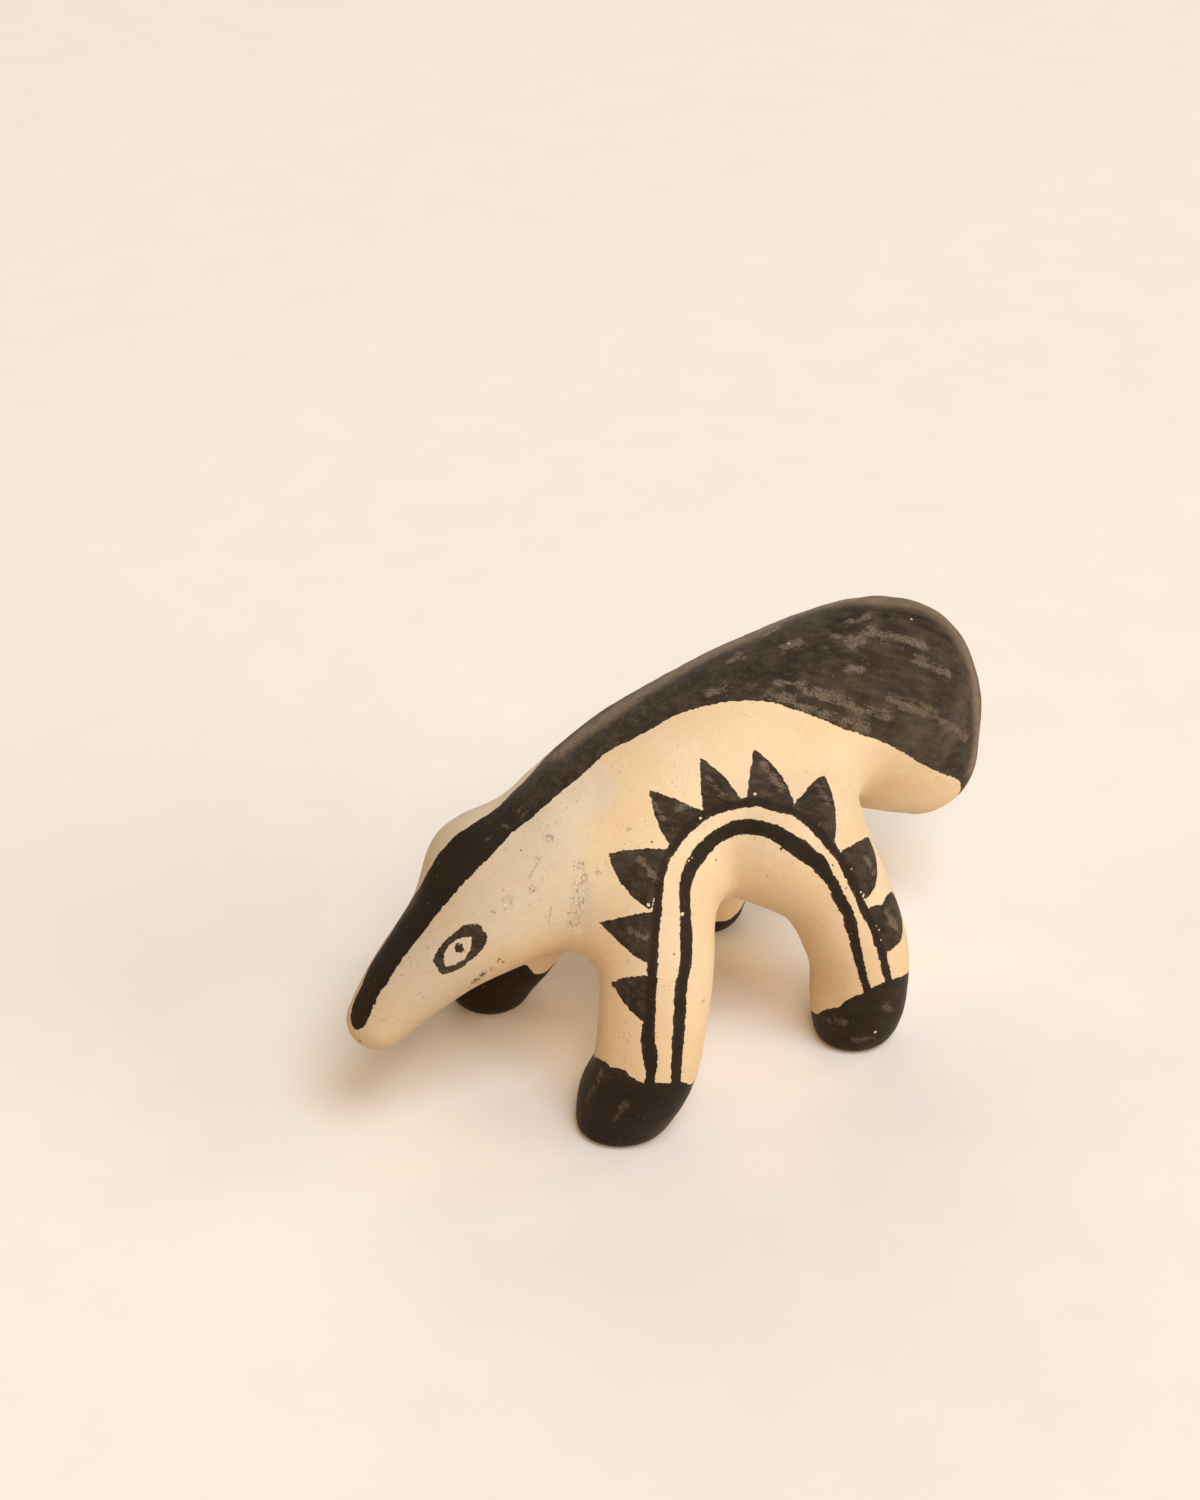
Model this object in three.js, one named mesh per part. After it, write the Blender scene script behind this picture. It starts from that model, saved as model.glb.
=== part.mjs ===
// Painted clay figurine of a giant anteater: one solid of fired clay that stands on four feet.
// Millimetres. The snout points along -X and the tail along +X, the soles stand on Z = 0, and
// the origin is under the middle of the body. The near side is -Y and the far side is +Y.
import * as THREE from "three";

// Sections of the body in order. x and z place the middle of a section, rise is half its
// height, measured square to the spine, and half is half its width across the body.
const BODY = {
  snoutTip: { x: -71.5, z: 29.5, rise: 6, half: 6 },
  muzzle: { x: -64, z: 36, rise: 8.5, half: 8 },
  eyes: { x: -54, z: 42, rise: 10.5, half: 10.5 },
  cheeks: { x: -39.5, z: 47, rise: 13.5, half: 13.5 },
  neck: { x: -24.5, z: 54.5, rise: 16.5, half: 16 },
  back: { x: -5.5, z: 60.5, rise: 18.5, half: 18.5 },
  loin: { x: 19, z: 64.5, rise: 20.5, half: 17 },
  tailRoot: { x: 45, z: 63.5, rise: 22.5, half: 15 },
  tailBroad: { x: 55, z: 55, rise: 20.5, half: 12 },
  tailEnd: { x: 63.5, z: 42.5, rise: 13, half: 9 },
};

// The rounded bump on the nape, a little to the far side.
const NAPE = { x: -44, y: 5.5, z: 52, radius: 10.5 };

// Sections of the legs from the sole up. out is how far the middle of a section stands from the
// middle plane of the body. The two legs of a pair share their upper sections.
const SHOULDER = { x: -18, out: 12.5, z: 46, radius: 15 };
const ELBOW = { x: -22, out: 23.5, z: 36.5, radius: 11.5 };
const HIP = { x: 14, out: 15, z: 51.5, radius: 16 };
const KNEE = { x: 21.5, out: 21.5, z: 40, radius: 11.5 };
const NEAR_FRONT = {
  sole: { x: -31.5, out: 23, z: 0, radius: 7.5 },
  foot: { x: -28.5, out: 24, z: 7, radius: 10 },
  ankle: { x: -26.5, out: 27.5, z: 18, radius: 10.5 },
};
const FAR_FRONT = {
  sole: { x: -30, out: 26.5, z: 0, radius: 7 },
  foot: { x: -30, out: 26.5, z: 8, radius: 10 },
  ankle: { x: -25, out: 25.5, z: 19, radius: 12.5 },
};
const NEAR_HIND = {
  sole: { x: 26.5, out: 25.5, z: 0, radius: 7 },
  foot: { x: 28, out: 25.5, z: 9, radius: 10 },
  ankle: { x: 27, out: 25.5, z: 23.5, radius: 10.5 },
};
const FAR_HIND = {
  sole: { x: 24.5, out: 25.5, z: 0, radius: 7 },
  foot: { x: 24, out: 25.5, z: 8, radius: 10 },
  ankle: { x: 27, out: 25.5, z: 23, radius: 10.5 },
};
const NEAR = -1;
const FAR = 1;

// How far the clay is smoothed over where forms meet, and over the rim of a sole.
const LEG_BLEND = 14;
const NAPE_BLEND = 12;
const SOLE_RIM = 4;

// Fineness of the surface: the size of its net, and the steps from one section to the next.
const NET_CELL = 3.1;
const BODY_STEPS = 6;
const LEG_STEPS = 5;
const SMOOTHING_ROUNDS = 6;

// How points are brought onto the skin: the reach of the slope probe, the moves in a round and
// in the last one, and how close to the ground a point counts as part of a sole.
const PROBE = 0.02;
const MOVES = 2;
const LAST_MOVES = 4;
const SOLE_TOLERANCE = 0.03;

// The most a limb may widen for each unit of its length.
const STEEPEST_TAPER = 0.95;

const CREAM_CLAY = 0xecc99a;

// Smooth curve through rows of numbers, with the same count of steps between each two rows.
function curveThrough(rows, steps) {
  const first = rows[0].map((v, i) => 2 * v - rows[1][i]);
  const last = rows.at(-1).map((v, i) => 2 * v - rows.at(-2)[i]);
  const all = [first, ...rows, last];
  const curve = [];
  for (let i = 1; i < rows.length; i++) {
    const [a, b, c, d] = all.slice(i - 1, i + 3);
    for (let j = 0; j < steps; j++) {
      const t = j / steps;
      curve.push(b.map((v, k) => v + 0.5 * t * (c[k] - a[k]
        + t * (2 * a[k] - 5 * v + 4 * c[k] - d[k]
        + t * (3 * (v - c[k]) + d[k] - a[k])))));
    }
  }
  curve.push(rows.at(-1));
  return curve;
}

// Tapered links between neighbouring sections [x, y, z, rise, half] of a limb. lean is how far
// the nearest section moves along the link for each unit that a point stands off its axis.
function linksOf(curve) {
  return curve.slice(1).map((b, i) => {
    const a = curve[i];
    const way = [b[0] - a[0], b[1] - a[1], b[2] - a[2]];
    const length = Math.hypot(...way);
    const growth = b[3] - a[3];
    const taper = THREE.MathUtils.clamp(growth / length, -STEEPEST_TAPER, STEEPEST_TAPER);
    const lean = taper / Math.sqrt(1 - taper * taper) / length;
    const flat = a[4] / a[3];
    return { start: a, way, length, growth, lean, flat, flatGrowth: b[4] / b[3] - flat };
  });
}

// Distance from a point to one link, measured with the link's own width across Y.
function linkDistance(link, x, y, z) {
  const px = x - link.start[0];
  const py = y - link.start[1];
  const pz = z - link.start[2];
  const [wx, wy, wz] = link.way;
  const along = (px * wx + py * wy + pz * wz) / (link.length * link.length);
  const middle = link.flat + link.flatGrowth / 2;
  const off = Math.hypot(px - along * wx, (py - along * wy) / middle, pz - along * wz);
  const t = Math.min(Math.max(along + off * link.lean, 0), 1);
  const flat = link.flat + t * link.flatGrowth;
  const dx = px - t * wx;
  const dy = (py - t * wy) / flat;
  const dz = pz - t * wz;
  const reach = Math.hypot(dx, dy, dz);
  const stretch = Math.hypot(dx, dy / flat, dz) + Number.EPSILON;
  return (reach - link.start[3] - t * link.growth) * Math.min(1, reach / stretch);
}

function limbDistance(links, x, y, z) {
  let nearest = Infinity;
  for (const link of links) nearest = Math.min(nearest, linkDistance(link, x, y, z));
  return nearest;
}

// The smaller of two distances, with the corner between them filled over a width.
function blend(a, b, width) {
  const h = Math.max(width - Math.abs(a - b), 0) / width;
  return Math.min(a, b) - (h * h * h * width) / 6;
}

const bodyLinks = linksOf(curveThrough(
  Object.values(BODY).map((s) => [s.x, 0, s.z, s.rise, s.half]), BODY_STEPS));

const legLinks = [
  [NEAR, NEAR_FRONT, ELBOW, SHOULDER],
  [NEAR, NEAR_HIND, KNEE, HIP],
  [FAR, FAR_FRONT, ELBOW, SHOULDER],
  [FAR, FAR_HIND, KNEE, HIP],
].map(([side, lower, ...upper]) => linksOf(curveThrough(
  [...Object.values(lower), ...upper].map(
    (s) => [s.x, side * s.out, s.z, s.radius, s.radius]), LEG_STEPS)));

// Distance to the skin of the clay: below 0 inside it, and cut off flat at the soles.
function clay(x, y, z) {
  let skin = limbDistance(bodyLinks, x, y, z);
  const nape = Math.hypot(x - NAPE.x, y - NAPE.y, z - NAPE.z) - NAPE.radius;
  skin = blend(skin, nape, NAPE_BLEND);
  for (const links of legLinks) skin = blend(skin, limbDistance(links, x, y, z), LEG_BLEND);
  return -blend(-skin, z, SOLE_RIM);
}

// Moves a point straight onto the skin.
function settle(point, moves) {
  for (let move = 0; move < moves; move++) {
    const { x, y, z } = point;
    const gap = clay(x, y, z);
    const slope = new THREE.Vector3(
      clay(x + PROBE, y, z) - clay(x - PROBE, y, z),
      clay(x, y + PROBE, z) - clay(x, y - PROBE, z),
      clay(x, y, z + PROBE) - clay(x, y, z - PROBE),
    ).divideScalar(2 * PROBE);
    point.addScaledVector(slope, -gap / slope.lengthSq());
  }
  if (Math.abs(point.z) < SOLE_TOLERANCE) point.z = 0;
}

// Net over the skin: a point in every cell that the skin crosses, and a four-sided patch, as
// two triangles, across every edge of the grid that it crosses. The low bits of a corner's
// number say on which side of its cell the corner lies along X, Y and Z.
function netOver(low, high) {
  const count = high.map((v, i) => Math.ceil((v - low[i]) / NET_CELL) + 1);
  const stride = [1, count[0], count[0] * count[1]];
  const place = (axis, i) => low[axis] + i * NET_CELL;
  const value = new Float64Array(count[0] * count[1] * count[2]);
  for (let k = 0; k < count[2]; k++) {
    for (let j = 0; j < count[1]; j++) {
      for (let i = 0; i < count[0]; i++) {
        value[i + j * stride[1] + k * stride[2]] = clay(place(0, i), place(1, j), place(2, k));
      }
    }
  }
  const points = [];
  const pointOf = new Map();
  const corners = Array.from({ length: 8 }, (_, c) => [c & 1, (c >> 1) & 1, c >> 2]);
  const offset = corners.map(([cx, cy, cz]) => cx + cy * stride[1] + cz * stride[2]);
  for (let k = 0; k < count[2] - 1; k++) {
    for (let j = 0; j < count[1] - 1; j++) {
      for (let i = 0; i < count[0] - 1; i++) {
        const base = i + j * stride[1] + k * stride[2];
        const at = new THREE.Vector3();
        let crossings = 0;
        corners.forEach((corner, c) => {
          for (let axis = 0; axis < 3; axis++) {
            if (corner[axis]) continue;
            const here = value[base + offset[c]];
            const there = value[base + offset[c] + stride[axis]];
            if (here < 0 === there < 0) continue;
            at.add(new THREE.Vector3(...corner));
            at.setComponent(axis, at.getComponent(axis) + here / (here - there));
            crossings++;
          }
        });
        if (!crossings) continue;
        at.divideScalar(crossings).multiplyScalar(NET_CELL);
        at.add(new THREE.Vector3(place(0, i), place(1, j), place(2, k)));
        pointOf.set(base, points.push(at) - 1);
      }
    }
  }
  const triangles = [];
  for (let axis = 0; axis < 3; axis++) {
    const u = stride[(axis + 1) % 3];
    const v = stride[(axis + 2) % 3];
    for (const base of pointOf.keys()) {
      const inside = value[base] < 0;
      if (inside === value[base + stride[axis]] < 0) continue;
      const ring = [base, base - u, base - u - v, base - v].map((cell) => pointOf.get(cell));
      const [a, b, c, d] = inside ? ring : ring.reverse();
      const cut = points[a].distanceTo(points[c]) < points[b].distanceTo(points[d]);
      triangles.push(...(cut ? [a, b, c, a, c, d] : [b, c, d, b, d, a]));
    }
  }
  return { points, triangles };
}

// Evens out the net: each point moves to the middle of its neighbours and back onto the skin.
function evenOut({ points, triangles }) {
  const neighbours = points.map(() => new Set());
  for (let i = 0; i < triangles.length; i += 3) {
    const corner = triangles.slice(i, i + 3);
    for (const a of corner) for (const b of corner) if (a !== b) neighbours[a].add(b);
  }
  for (let round = 1; round <= SMOOTHING_ROUNDS; round++) {
    const middles = neighbours.map((set) => {
      const middle = new THREE.Vector3();
      for (const n of set) middle.add(points[n]);
      return middle.divideScalar(set.size);
    });
    const moves = round === SMOOTHING_ROUNDS ? LAST_MOVES : MOVES;
    points.forEach((point, i) => settle(point.copy(middles[i]), moves));
  }
}

function figurineGeometry() {
  const body = Object.values(BODY);
  const legs = legLinks.flat().map((link) => link.start);
  const room = 2 * NET_CELL;
  const low = [
    Math.min(...body.map((s) => s.x - s.rise)) - room,
    Math.min(...legs.map((s) => s[1] - s[3])) - room,
    -room,
  ];
  const high = [
    Math.max(...body.map((s) => s.x + s.rise)) + room,
    Math.max(...legs.map((s) => s[1] + s[3])) + room,
    Math.max(...body.map((s) => s.z + s.rise)) + room,
  ];
  const net = netOver(low, high);
  evenOut(net);
  const geometry = new THREE.BufferGeometry().setFromPoints(net.points);
  geometry.setIndex(net.triangles);
  geometry.computeVertexNormals();
  return geometry;
}

const figurine = new THREE.Mesh(
  figurineGeometry(),
  new THREE.MeshStandardMaterial({ color: CREAM_CLAY, roughness: 0.8, metalness: 0 }),
);
figurine.name = "anteater_figurine";

const group = new THREE.Group();
group.add(figurine);
export default group;
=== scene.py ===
"""Looks of the painted clay anteater: its fine clay surface, its painted ornament, a plain studio."""
import functools
import math

import bmesh
import bpy
import numpy as np
from mathutils import Matrix, Vector, noise


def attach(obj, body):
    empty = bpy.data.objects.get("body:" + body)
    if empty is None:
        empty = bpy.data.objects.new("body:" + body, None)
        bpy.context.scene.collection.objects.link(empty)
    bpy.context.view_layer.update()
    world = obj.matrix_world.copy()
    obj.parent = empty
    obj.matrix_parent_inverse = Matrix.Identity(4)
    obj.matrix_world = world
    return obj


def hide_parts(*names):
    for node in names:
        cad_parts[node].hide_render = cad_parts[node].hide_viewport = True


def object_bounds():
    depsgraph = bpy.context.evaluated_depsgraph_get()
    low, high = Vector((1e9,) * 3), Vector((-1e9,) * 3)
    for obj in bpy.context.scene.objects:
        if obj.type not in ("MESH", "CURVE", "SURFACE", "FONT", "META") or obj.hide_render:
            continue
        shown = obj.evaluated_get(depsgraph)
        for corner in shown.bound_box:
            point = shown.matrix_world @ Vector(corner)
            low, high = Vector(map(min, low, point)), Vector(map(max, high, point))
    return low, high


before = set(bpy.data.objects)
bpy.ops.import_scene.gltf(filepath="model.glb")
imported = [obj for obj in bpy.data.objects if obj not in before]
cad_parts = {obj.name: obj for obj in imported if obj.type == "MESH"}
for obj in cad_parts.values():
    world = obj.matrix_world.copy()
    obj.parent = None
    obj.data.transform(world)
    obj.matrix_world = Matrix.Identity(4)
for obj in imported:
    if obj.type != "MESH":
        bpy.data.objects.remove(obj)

CAD_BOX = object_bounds()
MM = 0.001

# The clay, in millimetres. Body sections: x, z, rise (half height), half (half width across).
BODY = {
    "snout_tip": (-71.5, 29.5, 6, 6),
    "muzzle": (-64, 36, 8.5, 8),
    "eyes": (-54, 42, 10.5, 10.5),
    "cheeks": (-39.5, 47, 13.5, 13.5),
    "neck": (-24.5, 54.5, 16.5, 16),
    "back": (-5.5, 60.5, 18.5, 18.5),
    "loin": (19, 64.5, 20.5, 17),
    "tail_root": (45, 63.5, 22.5, 15),
    "tail_broad": (55, 55, 20.5, 12),
    "tail_end": (63.5, 42.5, 13, 9),
}
# The rounded bump on the nape: its middle and its radius.
NAPE = (-44, 5.5, 52)
NAPE_RADIUS = 10.5
# Leg sections from the sole up: x, distance out from the middle plane, z, radius.
SHOULDER = (-18, 12.5, 46, 15)
ELBOW = (-22, 23.5, 36.5, 11.5)
HIP = (14, 15, 51.5, 16)
KNEE = (21.5, 21.5, 40, 11.5)
NEAR, FAR = -1, 1
LEGS = {
    "near_front": (NEAR, (-31.5, 23, 0, 7.5), (-28.5, 24, 7, 10), (-26.5, 27.5, 18, 10.5), ELBOW, SHOULDER),
    "far_front": (FAR, (-30, 26.5, 0, 7), (-30, 26.5, 8, 10), (-25, 25.5, 19, 12.5), ELBOW, SHOULDER),
    "near_hind": (NEAR, (26.5, 25.5, 0, 7), (28, 25.5, 9, 10), (27, 25.5, 23.5, 10.5), KNEE, HIP),
    "far_hind": (FAR, (24.5, 25.5, 0, 7), (24, 25.5, 8, 10), (27, 25.5, 23, 10.5), KNEE, HIP),
}
LEG_BLEND, NAPE_BLEND, SOLE_RIM = 14, 12, 4
BODY_STEPS, LEG_STEPS = 6, 5
STEEPEST_TAPER = 0.95
# Each triangle of the CAD part is cut in four this many times over.
TRIANGLE_CUTS = 2

# The photograph's camera: its angles, its focal length in pixels, and where it sees the origin.
PHOTO_SIZE = (1200, 1500)
VIEW_AZIMUTH, VIEW_ELEVATION = -33.0, 33.2
FOCAL_PX = 2800.0
ORIGIN_PX = (677.1, 1012.5)
ORIGIN_DEPTH = 596.5

# The black stripe on the head and back, read from the photograph in pixels. The near edge runs
# from the snout to the corner of the tail, the far edge from the nape to the snout.
NEAR_EDGE_PX = [
    (366, 1024), (371, 1012.5), (375, 1002.5), (381, 991), (388.5, 980), (396, 967.5), (405, 955),
    (415, 942.5), (421, 935), (430, 923.5), (438.5, 912.5), (447.5, 902.5), (457, 891), (470, 876.5),
    (479, 866.5), (488, 858), (506.5, 838.5), (519, 826.5), (530, 819), (544.5, 806.5), (564.5, 789),
    (572, 782), (586.5, 770), (604, 753), (629, 740), (655, 727), (672, 717), (697, 708), (727, 702),
    (747, 701), (770, 702), (796, 710), (821, 719), (847, 730), (881, 741), (907, 755), (933, 770),
    (957, 779), (960, 787),
]
FAR_EDGE_PX = [
    (533.5, 770.5), (524.5, 781), (513.5, 792), (504, 802), (498.5, 807), (488.5, 814), (477, 821),
    (468, 827), (458, 834), (441, 851), (433, 863), (426.5, 875), (421.5, 885), (416.5, 892.5),
    (409, 904), (399, 920), (389.5, 935), (381, 947.5), (373.5, 959), (366.5, 972.5), (362, 985),
    (356, 997.5), (352, 1009), (351, 1020), (353.5, 1027.5), (358, 1031),
]
# Where the stripe's far edge is out of sight, seen from above in millimetres: x and y along the
# back, from tail to nape. Behind this x it is the near edge mirrored, round to the tail's tip.
FAR_BACK = [(18, 15), (8, 14.6), (-4, 14), (-14, 13.4), (-22, 13)]
TAIL_MIRROR_FROM = 26.0
STRIPE_END = (67.0, 0.0, 31.0)
ABOVE_CLAY = 5

# Brush strokes of the arch on the flank, in pixels: x, y and the width of the stroke.
INNER_BAND_PX = [
    (676, 1086, 10), (676.5, 1060, 10), (678, 1035, 12), (679.5, 1010, 12), (681, 986, 12),
    (686, 960, 11.5), (686, 935, 12.5), (685, 912, 11), (685, 888, 11.5), (689, 872, 13.5),
    (697, 857, 14.5), (705.5, 846.5, 14.5), (720, 835, 14), (738.5, 827, 14.5), (751, 827, 16),
    (763.5, 829, 15.5), (777, 834, 17), (792, 843.5, 18), (801, 849.5, 19), (811, 857.5, 17.5),
    (820, 864.5, 17), (826, 874, 13.5), (833, 884, 10.5), (838.5, 897, 13), (845, 908, 12.5),
    (849.2, 916, 12), (851, 926, 12.5), (854.6, 940, 10.5), (859, 960, 9.5), (863.3, 976.5, 8),
    (867.5, 991, 8.5), (870.5, 1003, 12), (871, 1014, 11),
]
OUTER_BAND_PX = [
    (649.2, 1086, 10.5), (651, 1073, 10.5), (650, 1056, 15.5), (648.2, 1036, 13.5), (649, 1021, 12),
    (650.5, 1000, 11), (652.4, 977, 10.8), (652.2, 960, 10.4), (654.5, 938, 9.5), (657, 912, 9),
    (658.5, 898, 9), (659.5, 880, 10), (665, 860, 9.5), (671, 850, 9.5), (682, 833, 11),
    (692, 824, 11), (704, 815, 9.5), (713, 810.5, 10), (726, 806, 11), (741, 803.3, 9),
    (749, 802, 11), (760, 801.5, 11), (777, 807, 11), (793, 811, 9), (806, 818.5, 10.5),
    (819, 830.5, 11), (827, 841, 10.5), (835.4, 852, 8.5), (844.4, 864.5, 10), (852, 879.5, 10.5),
    (858, 892.5, 10), (861.3, 903, 8), (866, 913, 9), (874, 928, 9), (880, 946, 9),
    (884.3, 964, 8.3), (889.5, 984, 6.5),
]
# Teeth on the outer band: tip, then the middle and the foot of the left side, then the middle
# and the foot of the right side, seen with the tip up.
TEETH_PX = [
    ((611, 983), (625.5, 1004.5), (643, 1021.5), (627, 977.5), (647, 976)),
    ((597.5, 924), (621, 946), (648, 963.5), (625, 916.5), (653, 911)),
    ((609, 853.5), (621, 883), (647, 908.5), (635, 849), (664, 849)),
    ((649.5, 789.5), (656, 818), (667.5, 842.5), (676, 799.5), (702, 810.5)),
    ((700, 756.5), (700.5, 783), (703, 809.5), (723, 775.5), (741, 799.5)),
    ((754.5, 750), (750, 774), (747, 797.5), (779, 772), (794, 807)),
    ((825, 773.5), (807, 789), (793, 807), (835, 805), (835, 839.5)),
    ((868, 836.5), (855, 843), (840, 852), (877, 867), (867.5, 898)),
]
# Distances to a tooth's sides are kept between these limits, in millimetres.
TOOTH_LIMITS = (-1, 5)
# The last tooth is a round blot: x, y and width.
LAST_TOOTH_PX = [
    (873, 912.5, 15), (881, 914.5, 19), (888.5, 918, 26), (888, 926, 28), (886, 934, 23),
    (884, 941.5, 15),
]
# On the far side the arch and its teeth sit this much further back and lower, in millimetres.
FAR_ARCH_SHIFT = (4, 0, -4)

# Upper edge of the black feet: on the outside from the near legs, on the inside from the far ones.
CAPS_PX = {
    "front": {
        NEAR: [(594, 1057), (597, 1057.5), (604.5, 1061), (611.5, 1067.5), (618.5, 1068.5), (625, 1070),
               (630, 1077), (643.5, 1083.5), (656, 1083), (670, 1083), (681.5, 1081.5), (691, 1084.5)],
        FAR: [(527, 965), (532, 970), (534, 974), (545, 973)],
    },
    "hind": {
        NEAR: [(814, 1013.5), (817, 1014), (826, 1009), (838.5, 1007.5), (848.5, 999), (857, 995),
               (865, 993), (873.5, 986.5), (885, 982.5), (898, 977.5), (906, 974)],
        FAR: [(724, 921), (732, 918)],
    },
}

# The eye: both ends of its ring, of the white almond in it and the pupil, in pixels, and the
# half widths of ring and almond in millimetres.
EYE_PX = {
    "ring": ((436.5, 966.5), (485, 931)),
    "white": ((444, 966), (471.3, 936.5)),
    "pupil": (458.6, 948.4),
}
RING_HALF, WHITE_HALF, PUPIL_RADIUS = 3.2, 1.95, 0.95
# The ring is a little squarer than an ellipse and leans a little, and its paint is thin out to here.
RING_SQUARENESS, RING_SHEAR = 2.5, 0.08
EYE_ROOM = 6.8

# Wear on the black, in pixels: both ends of each rubbed streak and its width.
RUBBED_PX = [
    (845, 623, 866, 616, 9), (852, 642, 876, 632, 12), (874, 632, 900, 637, 15), (898, 638, 926, 647, 9),
    (915, 656, 950, 674, 9), (778, 681, 803, 685, 7), (803, 686, 852, 703, 7), (770, 696, 794, 698, 10),
    (806, 693, 868, 714, 5), (890, 700, 928, 711, 11), (870, 711, 890, 717, 9), (796, 706, 868, 729, 9),
    (935, 715, 966, 738, 8), (708, 694, 724, 688, 7), (730, 661, 742, 656, 8), (782, 648, 800, 642, 8),
    (846, 668, 862, 670, 6), (830, 638, 838, 634, 6), (500, 814, 506, 826, 3.5), (484, 840, 492, 836, 3),
    (522, 815, 527, 812, 3), (544, 788, 551, 784, 3), (764, 764, 781, 788, 7), (708, 778, 722, 794, 8),
    (640, 858, 656, 880, 6), (652, 802, 664, 820, 5), (818, 786, 828, 802, 7), (614, 1121, 626, 1104, 6),
    (588, 1100, 602, 1072, 9), (886, 1006, 891, 1011, 6), (826, 1020, 846, 1024, 8),
    (852, 1040, 872, 1038, 6), (866, 858, 874, 874, 7), (886, 910, 896, 926, 8), (628, 930, 646, 938, 5),
    (690, 806, 676, 810, 6),
]
# Where the black has faded evenly: middle and reach of each patch, in pixels.
FADED_PX = [(915, 735, 50), (950, 735, 45), (962, 700, 30)]
# The ridge of the back and the tail, in pixels, and the reach in millimetres of its worn paint and painted
# sheen.
RIDGE_PX = [
    (562, 750), (580, 735), (600, 722), (640, 694), (690, 664), (740, 640), (790, 617), (835, 603.5),
    (880, 600.5), (915, 604), (942, 619), (961, 643), (973, 672), (977, 700), (978, 735), (973, 765),
]
RIDGE_REACH = 4.4
# The slip was wiped on along this line of the body, and down the legs below a height.
BODY_RUN = (0.905, 0, 0.425)
WIPE_TURN, WIPE_BLEND = 46, 14
# How far noise is drawn out along the wiping and along the brush: 0 is not at all, 1 without end.
WIPE_STRETCH, BRUSH_STRETCH = 0.8, 0.90
# The black is thick before an x and below a z, and thinner beyond, over a blend. On the hind feet
# and in the bands of the arch it is a little thinner than on the front feet, where it is 1.
THIN_PAINT_FROM, THIN_PAINT_BLEND = (-31, 30), 14
HIND_FOOT_PAINT, BAND_PAINT = 0.65, 0.8
# Towards the snout the slip is coloured darker: from this x, over a blend.
DARKER_BEFORE, DARKER_BLEND = -32, 25
# Which way the brush ran on the tail: from the first pixel to the second.
BRUSH_RUN_PX = ((790, 690), (930, 735))
# Bare spots in the black and dark specks on the cream: x, y and radius, in pixels.
BARE_PX = [
    (912, 619, 1.2), (755, 794, 1.4), (682, 914, 1.9), (648.5, 905, 1.6), (861, 892, 0.8),
    (863.5, 895.5, 1.4), (876.5, 926, 0.8), (879.2, 930, 1.1), (881, 940, 0.9), (875, 1032, 1.7),
    (789, 643, 1.0), (700.5, 818, 1.2), (686, 863.5, 0.8), (688.5, 860.5, 0.9), (692, 858, 0.8),
    (851, 869, 0.9), (866.5, 901, 1.4),
]
SPECKS_PX = [
    (593, 854, 1.0), (600, 914.5, 1.2), (520.7, 850, 0.8), (652, 842, 1.0), (560, 777, 0.8),
    (746, 715, 0.8), (360, 1041, 1.2), (674, 954, 1.2), (716, 860, 1.0), (612.5, 984.5, 3.2),
    (599, 925, 2.6), (611, 858, 3.6), (781, 849, 1.4), (420, 993, 1.0), (850, 785, 1.0),
    (832.5, 865, 1.2), (846, 888, 0.9), (603, 921.5, 1.6), (655, 709, 0.9),
]
# Broken clay surface and smudges: middle and reach of each patch, in pixels.
PITTED_PX = [
    (508, 903, 9), (492, 914, 5), (548, 838, 7), (578, 866, 8), (580, 878, 9), (580, 890, 10),
    (579, 902, 10), (575, 914, 10), (573, 925, 9), (533, 889, 6), (538, 860, 4), (598, 872, 5),
    (629, 829, 4), (626, 1036, 6), (702, 1002, 5),
]
SMUDGE_PX = [(476, 981, 6), (483, 975, 5), (491, 970, 4), (499, 961, 3.5), (503, 963, 3)]
CHALKY_PX = [(535, 850, 75), (440, 975, 70), (556, 900, 58), (580, 790, 50), (500, 905, 68)]
# Thin scratches in the slip: both ends, in pixels.
SCRATCHES_PX = [
    (539, 859, 527, 881), (543, 879, 530, 894), (628.5, 827, 630.5, 832), (583, 866, 584, 912),
    (598, 874, 599.5, 885), (552, 900, 548, 926),
]
# The crease where the shoulder meets the neck, in pixels.
CREASE_PX = [(580, 862), (583, 876), (584.5, 895), (583.5, 914), (579, 930)]
CREASE_DEPTH, CREASE_REACH = 0.25, 0.9
# The broad hollow between the neck and the front leg.
HOLLOW_PX = [(598, 808), (604, 850), (602, 890), (597, 930), (592, 965)]
HOLLOW_DEPTH, HOLLOW_REACH = 0.8, 7.0
# Unevenness of the hand-modelled clay: size of its waves, their height and a shift of the noise.
CLAY_WAVES = ((19, 0.34, 3.7), (8, 0.15, 11.3), (3.4, 0.045, 23.1))
# It fades out below this height, and a point below the other one belongs to a sole.
FADE_BELOW, SOLE_LEVEL = 6, 0.01

CREAM = (0.70, 0.517, 0.322)
CREAM_WARM = (0.676, 0.477, 0.270)
CREAM_CHALK = (0.61, 0.495, 0.358)
CREAM_FLECK = (0.90, 0.77, 0.58)
PIT_BROWN = (0.27, 0.174, 0.094)
BLACK = (0.0158, 0.0100, 0.0062)
BLACK_THIN = (0.070, 0.049, 0.032)
RUBBED = (0.155, 0.110, 0.070)
# Worn paint on the ridge, lightened further as a painted sheen along the top edge.
RIDGE_WEAR_AND_SHEEN_COLOUR = (0.180, 0.120, 0.073)
# The floor: its colour, how dark its blotches are next to it, and its half width in metres.
FLOOR_COLOUR = (0.80, 0.70, 0.59)
FLOOR_DARKEST, FLOOR_HALF = 0.98, 12.0
FLOOR_ROUGHNESS, FLOOR_SHINE = 0.9, 0.2

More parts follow.
